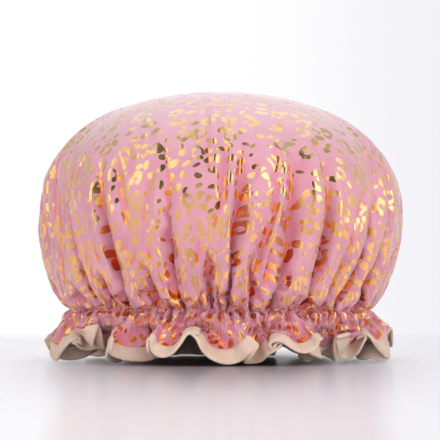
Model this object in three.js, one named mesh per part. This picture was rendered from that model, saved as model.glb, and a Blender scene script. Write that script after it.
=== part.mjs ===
import * as THREE from 'three';
import { LoftGeometry } from 'three/addons/geometries/LoftGeometry.js';

// A puffed shower cap standing on its frill. Millimetres, +Z up, front towards -Y, table at z = 0.

// Outline of the cap
const crownRadius = 129; // half width at the widest line
const crownRise = 83.5; // widest line up to the top
const crownFullness = 2.1; // power of the upper curve, 2 would be a plain ellipse
const wallDrop = 72; // widest line down to the gather
const wallCurve = 127; // half height of the ellipse that the lower wall follows
const gatherHeight = 32; // gather above the table
const frillDepth = 33; // cloth between the gather and the hem
const crownRimRise = 54; // widest line up to the line where the crown bends when it is pressed in
const crownLap = 4; // how far the crown's rim reaches down inside the wall

// Cloth, tape, elastic and thread
const satinThickness = 0.4;
const liningThickness = 0.3;
const tapeThickness = 0.5;
const bindingWidth = 10;
const bindingSeam = 1.5; // top edge of the binding down to its stitches
const elasticWidth = 6;
const elasticThickness = 0.8;
const elasticLap = 14; // length over which the two ends lie on each other
const channelHalf = 5; // gather to each of the two stitch rows beside the elastic
const threadDiameter = 0.4;
const clearance = 0.3; // air between two pieces that touch

// Folds of the wall and arches of the frill, each by its angle round the cap, in degrees from the front
const wallFolds = [
  -98, -79, -61, -45, -31, -13, 4, 17, 29, 46, 57,
  79, 96, 115, 135, 147, 164, 183, 195, 212, 232, 250,
];
const frillArches = [-95, -73, -54, -34, -20, 6, 29, 53, 72, 91, 114, 139, 163, 188, 213, 240];
const columnsPerFold = 4;
const foldDepth = 8.5; // of a wall fold where it is deepest
const foldSharpness = 3; // 1 would be a plain wave, more makes a narrow fold between wide swells
const foldFoot = 24; // heights over the gather between which a fold has its full depth
const foldHold = 64;
const foldLean = 11; // degrees by which the folds at the sides run outwards over leanHeight
const leanHeight = 110;
const foldWander = { size: 3, waves: 3, start: 2, climb: 2.4 }; // unrest of the folds, in degrees
const gatherPleat = 1.5; // half depth where the elastic holds the cloth
const archRise = 11; // hem over the table in the middle of an arch
const archReach = 17; // hem outside the gather there
const lobeReach = 1; // hem outside the gather between two arches
const tableCut = 0.3; // part of each wave's height that the table presses flat

const columns = wallFolds.length * columnsPerFold;
const wallTop = wallDrop + crownRimRise;
const rimHeight = wallTop - crownLap;
const layers = satinThickness + clearance + liningThickness;
const threadRadius = threadDiameter / 2;
const bindingTop = frillDepth - bindingWidth;
const seamDepth = bindingTop + bindingSeam;
const clothEnd = frillDepth - tapeThickness - clearance;

// Rows of the wall by height over the gather, and rows of the frill by depth below it
const wallRowHeights = [clearance / 2, channelHalf, foldFoot, 44, foldHold, 86, 104, 114, rimHeight, wallTop];
const frillRowDepths = [clothEnd, seamDepth, bindingTop, channelHalf, clearance / 2];

// Degrees of a mark in a list of angles that goes on round the cap
function markAt(angles, index) {
  return angles[index % angles.length] + 360 * Math.floor(index / angles.length);
}

// Degrees at a place between the marks of a list, and the place that belongs to an angle
function angleAt(angles, place) {
  const before = Math.floor(place);
  return THREE.MathUtils.lerp(markAt(angles, before), markAt(angles, before + 1), place - before);
}

function placeOf(angles, angle) {
  const turned = angle < angles[0] ? angle + 360 : angle;
  const before = angles.findLastIndex((mark) => mark <= turned);
  const from = markAt(angles, before);
  return before + (turned - from) / (markAt(angles, before + 1) - from);
}

function columnAngle(column) {
  return angleAt(wallFolds, column / columnsPerFold);
}

// A point on the line of a column, which leans with the folds over the gather
function place(column, radius, height) {
  const angle = THREE.MathUtils.degToRad(columnAngle(column));
  const climbed = Math.max(0, height - gatherHeight) / leanHeight;
  const { size, waves, start, climb } = foldWander;
  const wander = size * Math.sin(waves * angle + start + climb * climbed);
  const leaned = angle + THREE.MathUtils.degToRad(climbed * (foldLean * Math.sin(angle) - wander));
  return new THREE.Vector3(radius * Math.sin(leaned), -radius * Math.cos(leaned), height);
}

// 1 in the bottom of a wall fold, 0 on the swell between two
function wallValley(column) {
  const wave = 0.5 + 0.5 * Math.cos((2 * Math.PI * column) / columnsPerFold);
  return Math.pow(wave, foldSharpness);
}

// 1 in the middle of an arch of the frill, -1 in the middle of the lobe beside it
function archWave(column) {
  return Math.cos(2 * Math.PI * placeOf(frillArches, columnAngle(column)));
}

function wallRadius(height) {
  const over = height - wallDrop;
  if (over > 0) return crownRadius * Math.sqrt(1 - Math.pow(over / crownRise, crownFullness));
  return crownRadius * Math.sqrt(1 - Math.pow(over / wallCurve, 2));
}

function gatherRadius(column) {
  return wallRadius(0) - gatherPleat * (1 - archWave(column));
}

function wallPoint(column, height) {
  const fade = 1 - THREE.MathUtils.smoothstep(height, foldHold, rimHeight);
  const folded = wallRadius(height) - foldDepth * fade * wallValley(column);
  const drawn = wallRadius(height) - wallRadius(0) + gatherRadius(column);
  const foot = THREE.MathUtils.smoothstep(height, 0, foldFoot);
  return place(column, THREE.MathUtils.lerp(drawn, folded, foot), gatherHeight + height);
}

function frillPoint(column, depth) {
  const swell = 0.5 + 0.5 * archWave(column);
  const lift = Math.max(0, swell - tableCut) / (1 - tableCut);
  const reach = THREE.MathUtils.lerp(lobeReach, archReach, swell);
  const share = depth / frillDepth;
  const height = THREE.MathUtils.lerp(gatherHeight, archRise * lift, share);
  return place(column, gatherRadius(column) + share * reach, height);
}

function ring(pointAt) {
  return Array.from({ length: columns }, (_, column) => pointAt(column));
}

// Outward normals of a grid whose rows climb
function normalsOf(rows) {
  return rows.map((row, level) => row.map((_, column) => {
    const above = rows[Math.min(level + 1, rows.length - 1)][column];
    const below = rows[Math.max(level - 1, 0)][column];
    const across = row[(column + 1) % columns].clone().sub(row[(column + columns - 1) % columns]);
    return across.cross(above.clone().sub(below)).normalize();
  }));
}

function shifted(rows, normals, distance) {
  return rows.map((row, level) => row.map((point, column) =>
    point.clone().addScaledVector(normals[level][column], distance)));
}

function meanHeight(section) {
  return section.reduce((sum, point) => sum + point.z, 0) / section.length;
}

// A closed ring body skinned through its sections; all faces fold along the same diagonals
function ringBody(sections) {
  const closedSections = [...sections, sections[0]];
  const geometry = new LoftGeometry(closedSections);
  const stride = columns + 1;
  const index = [];
  sections.forEach((section, row) => {
    const climbs = meanHeight(closedSections[row + 1]) > meanHeight(section);
    for (let column = 0; column < columns; column += 1) {
      const a = row * stride + column;
      const b = a + 1;
      const c = b + stride;
      const d = a + stride;
      if (climbs) index.push(a, b, d, b, c, d);
      else index.push(a, b, c, a, c, d);
    }
  });
  geometry.setIndex(index);
  return geometry;
}

function sheetBody(outerRows, thickness) {
  const innerRows = shifted(outerRows, normalsOf(outerRows), -thickness);
  return ringBody([...outerRows, ...innerRows.reverse()]);
}

// A thread that lies on one row of a grid
function threadBody(rows, level, distance) {
  const normals = normalsOf(rows);
  const centre = shifted(rows, normals, distance)[level];
  const offset = (out, up) => centre.map((point, column) => {
    const lifted = point.clone().addScaledVector(normals[level][column], out * threadRadius);
    lifted.z += up * threadRadius;
    return lifted;
  });
  const low = -Math.sin(Math.PI / 6);
  return ringBody([offset(1, low), offset(0, 1), offset(-1, low)]);
}

// Satin and lining of the wall and frill
const wallRows = wallRowHeights.map((height) => ring((column) => wallPoint(column, height)));
const frillRows = frillRowDepths.map((depth) => ring((column) => frillPoint(column, depth)));
const wallNormals = normalsOf(wallRows);
const frillNormals = normalsOf(frillRows);
const underSatin = -(satinThickness + clearance);
const liningWall = shifted(wallRows, wallNormals, underSatin);
const liningFrill = shifted(frillRows, frillNormals, underSatin);

function innermost(row) {
  return Math.min(...row.map((point) => Math.hypot(point.x, point.y))) + underSatin;
}

const upperChannel = wallRowHeights.indexOf(channelHalf);
const lowerChannel = frillRowDepths.indexOf(channelHalf);
const elasticRadius = innermost(frillRows[lowerChannel]);
const upperRadius = innermost(wallRows[upperChannel]);
const lapStep = elasticThickness + clearance;
const tackRadius = elasticRadius - lapStep - elasticThickness - clearance - threadRadius;
const channelRadius = tackRadius - threadRadius - clearance;
const channelLip = elasticWidth / 2 + clearance;
const liningRows = [
  ...liningFrill.slice(0, lowerChannel),
  ring((column) => place(column, elasticRadius, gatherHeight - channelHalf)),
  ring((column) => place(column, channelRadius, gatherHeight - channelLip)),
  ring((column) => place(column, channelRadius, gatherHeight + channelLip)),
  ring((column) => place(column, upperRadius, gatherHeight + channelHalf)),
  ...liningWall.slice(upperChannel + 1),
];
const liningLower = lowerChannel;
const liningUpper = lowerChannel + 3;

// Crown: a plain dome whose rim sits just inside the wall
const rimRadius = wallRadius(rimHeight);
const rimInset = layers + clearance * 1.4;
const crownSteps = 6;
const crownColumns = columns / 2;
const slopeStep = 0.01;

function crownProfilePoint(step, depth) {
  const radius = (rimRadius * step) / crownSteps;
  const heightAt = (r) => wallDrop + crownRise * Math.pow(1 - (r / crownRadius) ** 2, 1 / crownFullness);
  const slope = (heightAt(radius + slopeStep) - heightAt(Math.max(radius - slopeStep, 0))) / (2 * slopeStep);
  const normal = new THREE.Vector2(-slope, 1).normalize();
  const inset = rimInset * THREE.MathUtils.smoothstep(step, crownSteps / 2, crownSteps) + depth;
  const across = step === 0 ? 0 : radius - normal.x * inset;
  return new THREE.Vector2(across, gatherHeight + heightAt(radius) - normal.y * inset);
}

function crownBody(outerDepth, thickness) {
  const inner = [];
  const outer = [];
  for (let step = 0; step <= crownSteps; step += 1) {
    inner.push(crownProfilePoint(step, outerDepth + thickness));
    outer.push(crownProfilePoint(step, outerDepth));
  }
  const geometry = new THREE.LatheGeometry([...inner, ...outer.reverse()], crownColumns);
  return geometry.rotateX(Math.PI / 2);
}

// Elastic: a flat strip standing on edge, coiled once round with its ends lapped at the back
function elasticBody() {
  const steps = 48;
  const lapAngle = elasticLap / elasticRadius;
  const edge = (step, inward) => {
    const angle = Math.PI / 2 - lapAngle / 2 + ((2 * Math.PI + lapAngle) * step) / steps;
    const radius = elasticRadius - (lapStep * step) / steps - inward;
    return new THREE.Vector2(radius * Math.cos(angle), radius * Math.sin(angle));
  };
  const outline = [];
  for (let step = 0; step <= steps; step += 1) outline.push(edge(step, 0));
  for (let step = steps; step >= 0; step -= 1) outline.push(edge(step, elasticThickness));
  const shape = new THREE.Shape(outline);
  const geometry = new THREE.ExtrudeGeometry(shape, { depth: elasticWidth, bevelEnabled: false });
  return geometry.translate(0, 0, gatherHeight - elasticWidth / 2);
}

// Tack: a zigzag of thread over the lapped ends of the elastic
function tackBody() {
  const turns = 8;
  const reach = elasticLap * 0.4;
  const points = [];
  for (let turn = 0; turn <= turns; turn += 1) {
    const angle = Math.PI / 2 + ((turn / turns - 0.5) * 2 * reach) / tackRadius;
    const height = gatherHeight + (turn % 2 ? 1 : -1) * elasticWidth * 0.3;
    points.push(new THREE.Vector3(tackRadius * Math.cos(angle), tackRadius * Math.sin(angle), height));
  }
  const path = new THREE.CatmullRomCurve3(points, false, 'catmullrom', 0.2);
  const corners = [[1, 0], [0, 1], [-1, 0], [0, -1]];
  const outline = corners.map(([x, y]) => new THREE.Vector2(x * threadRadius, y * threadRadius));
  const section = new THREE.Shape(outline);
  const options = { steps: turns * 2, bevelEnabled: false, extrudePath: path };
  return new THREE.ExtrudeGeometry(section, options);
}

// Binding: a tape folded over the hem; its folded edge lies flat where the hem meets the table
function bindingRow(depth, distance) {
  const rowDepths = [clothEnd, seamDepth, bindingTop];
  const rows = rowDepths.map((at) => ring((column) => frillPoint(column, at)));
  const normals = normalsOf(rows);
  const level = depth > seamDepth ? 0 : depth === seamDepth ? 1 : 2;
  return ring((column) => {
    const point = frillPoint(column, depth);
    const onTable = depth === frillDepth && point.z === 0;
    point.addScaledVector(normals[level][column], distance);
    point.z = onTable ? 0 : Math.max(0, point.z);
    return point;
  });
}

const outerGap = clearance;
const outerFace = clearance + tapeThickness;
const innerGap = -(layers + clearance);
const innerFace = innerGap - tapeThickness;
const foldInside = frillDepth - tapeThickness;
const bindingOuter = [frillDepth, seamDepth, bindingTop].map((depth) => bindingRow(depth, outerFace));
const bindingInner = [frillDepth, seamDepth, bindingTop].map((depth) => bindingRow(depth, innerFace));
const bindingSections = [
  ...bindingOuter,
  bindingRow(bindingTop, outerGap),
  bindingRow(seamDepth, outerGap),
  bindingRow(foldInside, outerGap),
  bindingRow(foldInside, innerGap),
  bindingRow(seamDepth, innerGap),
  bindingRow(bindingTop, innerGap),
  ...[...bindingInner].reverse(),
];

// Materials
const satinLook = { color: 0xd79bb5, roughness: 0.42, metalness: 0.05 };
const liningLook = { color: 0xe6dfe2, roughness: 0.35, metalness: 0 };
const elasticLook = { color: 0xf2efea, roughness: 0.8, metalness: 0 };
const tapeLook = { color: 0xdcc4b2, roughness: 0.6, metalness: 0 };
const pinkThreadLook = { color: 0xc9819b, roughness: 0.6, metalness: 0 };
const tapeThreadLook = { color: 0xcdb19c, roughness: 0.6, metalness: 0 };

const cap = new THREE.Group();

function add(name, geometry, look) {
  const mesh = new THREE.Mesh(geometry, new THREE.MeshStandardMaterial(look));
  mesh.name = name;
  cap.add(mesh);
}

const onTop = clearance + threadRadius;
const underLining = -(liningThickness + clearance + threadRadius);
const liningCrownDepth = satinThickness + clearance;

add('satin_crown', crownBody(0, satinThickness), satinLook);
add('satin_wall', sheetBody(wallRows, satinThickness), satinLook);
add('satin_frill', sheetBody(frillRows, satinThickness), satinLook);
add('lining_crown', crownBody(liningCrownDepth, liningThickness), liningLook);
add('lining_skirt', sheetBody(liningRows, liningThickness), liningLook);
add('elastic_band', elasticBody(), elasticLook);
add('elastic_splice_thread', tackBody(), elasticLook);
add('channel_upper_needle_thread', threadBody(wallRows, upperChannel, onTop), pinkThreadLook);
add('channel_upper_bobbin_thread', threadBody(liningRows, liningUpper, underLining), pinkThreadLook);
add('channel_lower_needle_thread', threadBody(frillRows, lowerChannel, onTop), pinkThreadLook);
add('channel_lower_bobbin_thread', threadBody(liningRows, liningLower, underLining), pinkThreadLook);
add('hem_binding', ringBody(bindingSections), tapeLook);
add('hem_needle_thread', threadBody(bindingOuter, 1, onTop), tapeThreadLook);
add('hem_bobbin_thread', threadBody(bindingInner, 1, -onTop), tapeThreadLook);

export default cap;
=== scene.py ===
import math
import bpy
import numpy as np
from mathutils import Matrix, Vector


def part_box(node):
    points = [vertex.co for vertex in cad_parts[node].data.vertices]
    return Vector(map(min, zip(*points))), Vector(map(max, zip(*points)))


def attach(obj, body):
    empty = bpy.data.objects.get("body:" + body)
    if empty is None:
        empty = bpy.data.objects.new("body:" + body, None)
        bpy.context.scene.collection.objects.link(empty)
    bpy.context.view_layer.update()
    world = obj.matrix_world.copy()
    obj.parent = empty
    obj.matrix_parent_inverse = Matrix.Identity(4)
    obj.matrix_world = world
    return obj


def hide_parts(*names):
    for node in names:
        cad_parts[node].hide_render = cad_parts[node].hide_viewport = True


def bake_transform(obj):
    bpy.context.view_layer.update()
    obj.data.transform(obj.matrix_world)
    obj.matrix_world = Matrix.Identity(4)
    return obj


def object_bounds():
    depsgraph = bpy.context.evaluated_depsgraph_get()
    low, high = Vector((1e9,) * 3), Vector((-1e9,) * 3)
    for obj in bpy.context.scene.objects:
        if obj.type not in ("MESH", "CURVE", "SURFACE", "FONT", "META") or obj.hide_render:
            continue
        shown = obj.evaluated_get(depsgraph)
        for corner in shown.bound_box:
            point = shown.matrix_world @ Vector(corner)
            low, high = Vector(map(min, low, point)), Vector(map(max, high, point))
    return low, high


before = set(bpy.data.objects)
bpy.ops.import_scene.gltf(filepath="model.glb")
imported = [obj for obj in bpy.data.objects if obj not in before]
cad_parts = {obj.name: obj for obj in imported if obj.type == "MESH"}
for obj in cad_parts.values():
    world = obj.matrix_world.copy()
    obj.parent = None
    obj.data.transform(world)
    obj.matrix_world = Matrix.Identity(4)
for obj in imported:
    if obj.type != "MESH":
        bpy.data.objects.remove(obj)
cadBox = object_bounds()

shot = dict(lens=128.0, sensor=36, distance=1.1, aim=Vector((0, 0, 0.098)), elevation=-3.3)
tilt = math.radians(shot["elevation"])
stand = shot["aim"] + Vector((0, -math.cos(tilt), math.sin(tilt))) * shot["distance"]
bpy.ops.object.camera_add(location=stand, rotation=(math.pi / 2 - tilt, 0, 0))
camera = bpy.context.object
camera.data.lens = shot["lens"]
camera.data.sensor_width = shot["sensor"]
camera.data.dof.use_dof = False
bpy.context.scene.camera = camera
bpy.context.scene.view_settings.view_transform = "Standard"
print("camera set")


def ease(low, high, value):  # 0 below low, 1 above high, smooth between
    t = np.clip((value - low) / (high - low), 0, 1)
    return t * t * (3 - 2 * t)


def turns(count):  # even angles of a full turn
    return np.linspace(0, 2 * np.pi, count, endpoint=False)


def rowsTo(start, end, count):  # even steps after start, up to end
    return np.linspace(start, end, count + 1)[1:]


def unit(vectors):
    return vectors / np.maximum(np.linalg.norm(vectors, axis=-1, keepdims=True), 1e-12)


def reachOf(points):  # distance from the cap's axis
    return np.hypot(points[..., 0], points[..., 1])


def setReach(points, wanted):
    points[..., :2] *= (wanted / np.maximum(reachOf(points), 1e-6))[..., None]


def newPiece(name, points, faces):
    mesh = bpy.data.meshes.new(name)
    mesh.from_pydata(np.asarray(points).tolist(), [], faces)
    piece = bpy.data.objects.new(name, mesh)
    bpy.context.scene.collection.objects.link(piece)
    mesh.shade_smooth()
    return piece


def bands(pairs, around):  # quads between pairs of rows, each row given by its first vertex
    q = np.arange(around)
    after = (q + 1) % around
    quads = [np.stack([a + q, b + q, b + after, a + after], 1) for a, b in pairs]
    return np.concatenate(quads).tolist()


def discFaces(rows, around):  # vertex 0 is the apex, then rows from the top down
    fan = [(0, 1 + q, 1 + (q + 1) % around) for q in range(around)]
    return fan + bands([(1 + i * around, 1 + (i + 1) * around) for i in range(rows - 1)], around)


# the cap's form, with sizes taken from the frame
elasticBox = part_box("elastic_band")
capShape = dict(
    radius=(cadBox[1].x - cadBox[0].x) / 2, top=cadBox[1].z,
    gather=(elasticBox[0].z + elasticBox[1].z) / 2,
    widest=0.104,  # height of the widest line
    crownPower=2.1, wallCurve=0.127, frillDepth=0.0340, gatherRings=60, frillRings=9,
    wallFolds=[  # angle, depth and length of each fold over the gather
        (-98, 0.9, 0.12), (-88, 0.5, 0.07), (-79, 1.2, 0.15), (-69, 0.4, 0.06), (-61, 1.3, 0.17),
        (-53, 0.4, 0.06), (-45, 1.2, 0.14), (-38, 0.4, 0.05), (-31, 1.3, 0.18), (-21, 0.6, 0.08),
        (-13, 1.2, 0.16), (-4, 0.5, 0.07), (4, 1.35, 0.19), (11, 0.5, 0.06), (17, 1.5, 0.20),
        (29, 1.3, 0.16), (37, 0.7, 0.09), (46, 0.9, 0.15), (57, 1.3, 0.17), (68, 0.5, 0.08),
        (79, 1.2, 0.15), (88, 0.5, 0.06), (96, 1.1, 0.17), (108, 0.8, 0.10), (115, 1.3, 0.15),
        (127, 0.5, 0.06), (135, 1.2, 0.18), (147, 0.9, 0.12), (154, 0.5, 0.07), (164, 1.4, 0.17),
        (174, 0.5, 0.08), (183, 1.1, 0.14), (195, 1.3, 0.19), (203, 0.4, 0.06), (212, 1.2, 0.15),
        (224, 0.6, 0.09), (232, 1.4, 0.17), (243, 0.7, 0.08), (252, 1.1, 0.15),
    ],
    frillFolds=[-95, -73, -54, -34, -20, 6, 29, 53, 72, 91, 114, 139, 163, 188, 213, 240],
)


def profileRadius(height):
    over = np.asarray(height, float) - capShape["widest"]
    crown = 1 - np.clip(over / (capShape["top"] - capShape["widest"]), 0, 1) ** capShape["crownPower"]
    wall = 1 - np.clip(over / capShape["wallCurve"], -1, 0) ** 2
    return capShape["radius"] * np.sqrt(np.where(over > 0, crown, wall))


crownRise = capShape["top"] - capShape["widest"]
profileHeight = np.concatenate([
    capShape["widest"] + crownRise * np.cos(np.linspace(0, np.pi / 2, 3000)),
    np.linspace(capShape["widest"], capShape["gather"], 1500)[1:],
])
profileReach = profileRadius(profileHeight)
profileArc = np.concatenate([[0], np.cumsum(np.hypot(np.diff(profileHeight), np.diff(profileReach)))])
gatherArc = profileArc[-1]
hemArc = gatherArc + capShape["frillDepth"]
gatherRadius = float(profileRadius(capShape["gather"]))
print("cloth from apex to gather", round(gatherArc, 4), "and to hem", round(hemArc, 4))

# rings of the round cut: ring k has 6k points
gatherRing = capShape["gatherRings"]
lastRing = gatherRing + capShape["frillRings"]
ringArc = np.concatenate([
    np.linspace(0, gatherArc, gatherRing + 1),
    rowsTo(gatherArc, hemArc, capShape["frillRings"]),
])
ringStart = [0] + [1 + 3 * k * (k - 1) for k in range(1, lastRing + 2)]
ringOf = np.concatenate([[0]] + [np.full(6 * k, k) for k in range(1, lastRing + 1)])
angleOf = np.concatenate([[0]] + [2 * np.pi * np.arange(6 * k) / (6 * k) for k in range(1, lastRing + 1)])
arcOf = ringArc[ringOf]
onHem = ringOf == lastRing
frillShare = np.clip((arcOf - gatherArc) / capShape["frillDepth"], 0, 1)  # 0 at the gather, 1 at the hem


def ringFaces():
    faces = [(0, 1 + j, 1 + (j + 1) % 6) for j in range(6)]
    for k in range(1, lastRing):
        inner, outer = ringStart[k], ringStart[k + 1]
        innerCount, outerCount = 6 * k, 6 * (k + 1)
        for side in range(6):
            for j in range(k + 1):
                a = inner + (side * k + j) % innerCount
                b = outer + (side * (k + 1) + j) % outerCount
                c = outer + (side * (k + 1) + j + 1) % outerCount
                faces.append((a, b, c))
                if j < k:
                    faces.append((a, c, inner + (side * k + j + 1) % innerCount))
    return faces


def onProfile(arcs):  # reach and height of the smooth cap
    return np.interp(arcs, profileArc, profileReach), np.interp(arcs, profileArc, profileHeight)


def turnedOut(reach, height):  # one point for each point of the cut, angle 0 in front
    return np.stack([reach * np.sin(angleOf), -reach * np.cos(angleOf), height], 1)


def backShare(start, full):  # 0 in front and 1 behind, changing between two angles
    away = np.abs((angleOf + np.pi) % (2 * np.pi) - np.pi)
    return ease(np.radians(start), np.radians(full), away)


def foldPhase(angle, folds):  # a full turn of phase from one fold to the next
    count = len(folds)
    marks = np.radians(np.concatenate([np.array(folds) - 360, folds, np.array(folds) + 360]))
    turned = (angle + np.pi) % (2 * np.pi) - np.pi
    return 2 * np.pi * np.interp(turned, marks, np.arange(3 * count) - count)


def foldPower(angle, folds, power):  # each fold has its own depth
    count = len(folds)
    place = (foldPhase(angle, folds) / (2 * np.pi)) % count
    return np.interp(place, np.arange(count + 1), np.append(power, power[0]))


drape = dict(
    size=10.0,  # the cloth settles at ten times its size, where the solver is steady
    frames=44, seed=4, lean=11, leanRise=0.11, wander=2.0, wanderRise=0.045, wanderFrom=(0.02, 0.08),
    foldLength=0.78, foldStart=0.014, foldFade=0.35, wallFold=0.0068, valleyPower=1.6, valleyBase=0.7,
    pleat=0.0024, pleatEnd=(0.008, 0.05), neckFade=0.006, frillLean=9, frillSwing=48, frillDrop=0.9,
    backCalm=0.35, backSpan=(105, 150), floor=0.0016, tableGap=0.0008,
    spareAt=[0, 0.5, 0.69, 0.85, 1],  # shares of the way to the gather
    spareWidth=[1, 1.01, 1.15, 1.38, 1.45, 2.0],  # at those shares and at the hem
    restFlare=0.2,
    collar=elasticBox[1].x + 0.0012,  # the cloth stays outside the elastic
    collarHalf=0.007, collarSlope=1.2, formRows=48, formColumns=96,
    formMarks=[0, 0.006, 0.018, 0.05, 0.1, gatherArc], formInset=[0.003, 0.009, 0.013, 0.009],
    hemRings=3, frillStiff=0.35,
    solver=dict(
        quality=6, mass=0.15,
        tension_stiffness=40, compression_stiffness=20, shear_stiffness=16, bending_stiffness=1.0,
        tension_damping=5, compression_damping=5, shear_damping=5, bending_damping=0.5,
        air_damping=2, vertex_group_bending="stiff", bending_stiffness_max=24.0,
        vertex_group_mass="held",
        use_pressure=True, uniform_pressure_force=1.2, vertex_group_pressure="puffed",
    ),
    touch=dict(
        use_collision=True, distance_min=0.006, use_self_collision=True, self_distance_min=0.012,
        self_friction=3, collision_quality=2,
    ),
    formTouch=dict(thickness_outer=0.01, thickness_inner=0.3, cloth_friction=2),
    tableTouch=dict(thickness_outer=0.006, cloth_friction=5),
)


def sewnShape():  # the gathered cap before the cloth settles
    dice = np.random.default_rng(drape["seed"])
    wallFolds, wallDepth, wallTop = np.array(capShape["wallFolds"], float).T
    frillFolds = capShape["frillFolds"]
    between = np.diff(np.append(wallFolds, wallFolds[0] + 360)) * dice.uniform(0.4, 0.6, len(wallFolds))
    finePleats = np.sort(np.concatenate([wallFolds, wallFolds + between]))
    reach, height = onProfile(arcOf)
    up = gatherArc - arcOf
    lean = math.radians(drape["lean"]) * np.sin(angleOf) * np.clip(up / drape["leanRise"], 0, 1.2)
    wander = np.radians(drape["wander"]) * np.sin(3 * angleOf + 2 + up / drape["wanderRise"])
    turned = angleOf - lean + wander * ease(*drape["wanderFrom"], up)
    foldTop = foldPower(turned, wallFolds, wallTop) * drape["foldLength"]
    foldPart = ease(0, drape["foldStart"], up) * (1 - ease(drape["foldFade"], 1, up / foldTop))
    pleatPart = (1 - ease(*drape["pleatEnd"], up)) * (up > -1e-9)
    valley = ((1 + np.cos(foldPhase(turned, wallFolds))) / 2) ** drape["valleyPower"]
    valley = (2 * valley - drape["valleyBase"]) * foldPower(turned, wallFolds, wallDepth)
    reach = reach - drape["wallFold"] * valley * foldPart
    reach = reach - drape["pleat"] * np.cos(foldPhase(turned, finePleats)) * pleatPart
    down = np.clip(-up, 0, None)
    swingPower = dice.uniform(0.8, 1.15, len(frillFolds))
    swing = np.cos(foldPhase(angleOf, frillFolds)) * foldPower(angleOf, frillFolds, swingPower)
    swing = swing * (1 - drape["backCalm"] * backShare(*drape["backSpan"]))
    slant = np.radians(drape["frillLean"] + drape["frillSwing"] * swing)
    neckPleat = drape["pleat"] * np.cos(foldPhase(angleOf, finePleats)) * np.exp(-down / drape["neckFade"])
    inFrill = down > 0
    reach = np.where(inFrill, gatherRadius - neckPleat + down * np.sin(slant), reach)
    collar = drape["collar"] - np.clip(np.abs(up) - drape["collarHalf"], 0, None) * drape["collarSlope"]
    reach = np.where(arcOf > 0.2, np.maximum(reach, collar), reach)
    height = np.where(inFrill, capShape["gather"] - down * np.cos(slant) * drape["frillDrop"], height)
    return turnedOut(reach, np.maximum(height, drape["floor"]))


def restShape():  # a surface of turning with the cloth's spare width in it
    down = np.clip(ringArc - gatherArc, 0, None)
    base = np.where(down > 0, gatherRadius + down * drape["restFlare"], onProfile(ringArc)[0])
    marks = np.array(drape["spareAt"]) * gatherArc
    spare = np.interp(ringArc, np.append(marks, hemArc), drape["spareWidth"])
    reach = np.minimum(ringArc, base * spare)
    fall = np.sqrt(np.clip(np.diff(ringArc) ** 2 - np.diff(reach) ** 2, 1e-8, None))
    height = np.concatenate([[0], -np.cumsum(fall)])
    return turnedOut(reach[ringOf], height[ringOf])


def innerForm(size):  # the stuffing that holds the crown up while the cloth settles
    arcs = rowsTo(0, gatherArc, drape["formRows"])
    around = drape["formColumns"]
    neckInset = gatherRadius - drape["collar"]
    insets = [neckInset, neckInset] + drape["formInset"][::-1]
    inset = np.interp(gatherArc - arcs, drape["formMarks"], insets)
    reach, height = onProfile(arcs)
    slopeReach, slopeHeight = np.subtract(onProfile(arcs + 0.001), onProfile(arcs - 0.001))
    run = np.hypot(slopeReach, slopeHeight)
    reach = np.append(reach + inset * slopeHeight / run, drape["collar"])
    height = np.append(height - inset * slopeReach / run, capShape["gather"] - 0.005)
    points = [(0, 0, capShape["top"] - inset[0])]
    for r, h in zip(reach, height):
        points += [(r * math.sin(t), -r * math.cos(t), h) for t in turns(around)]
    bottom = tuple(1 + (len(reach) - 1) * around + q for q in reversed(range(around)))
    return newPiece("clothForm", np.array(points) * size, discFaces(len(reach), around) + [bottom])


def giveAll(target, settings):
    for key, value in settings.items():
        setattr(target, key, value)


def settleCloth():
    start = sewnShape()
    size = drape["size"]
    scene = bpy.context.scene
    cloth = newPiece("clothTrial", start * size, ringFaces())
    cloth.shape_key_add(name="sewn")
    rest = cloth.shape_key_add(name="spare")
    rest.data.foreach_set("co", (restShape() * size).astype(np.float32).ravel())
    hemFrom = lastRing - drape["hemRings"]
    for name, chosen, amount in [
        ("held", ringOf == gatherRing, 1.0),
        ("puffed", ringOf < gatherRing, 1.0),
        ("stiff", (ringOf > gatherRing) & (ringOf < hemFrom), drape["frillStiff"]),
        ("stiff", ringOf >= hemFrom, 1.0),
    ]:
        group = cloth.vertex_groups.get(name) or cloth.vertex_groups.new(name=name)
        group.add(np.where(chosen)[0].tolist(), amount, "REPLACE")
    form = innerForm(size)
    side = 0.5 * size
    level = (drape["floor"] - drape["tableGap"]) * size
    corners = [(-side, -side, level), (side, -side, level), (side, side, level), (-side, side, level)]
    table = newPiece("clothTable", corners, [(0, 1, 2, 3)])
    for helper, settings in ((form, drape["formTouch"]), (table, drape["tableTouch"])):
        helper.modifiers.new("press", "COLLISION")
        giveAll(helper.collision, settings)
    solver = cloth.modifiers.new("settle", "CLOTH")
    giveAll(solver.settings, drape["solver"])
    solver.settings.rest_shape_key = rest
    giveAll(solver.collision_settings, drape["touch"])
    solver.point_cache.frame_start, solver.point_cache.frame_end = 1, drape["frames"]
    for step in range(1, drape["frames"] + 1):
        scene.frame_set(step)
    settled = cloth.evaluated_get(bpy.context.evaluated_depsgraph_get()).data
    points = np.empty(len(start) * 3, np.float32)
    settled.vertices.foreach_get("co", points)
    for helper in (cloth, form, table):
        mesh = helper.data
        bpy.data.objects.remove(helper)
        bpy.data.meshes.remove(mesh)
    scene.frame_set(1)
    return points.reshape(-1, 3).astype(float) / size


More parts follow.
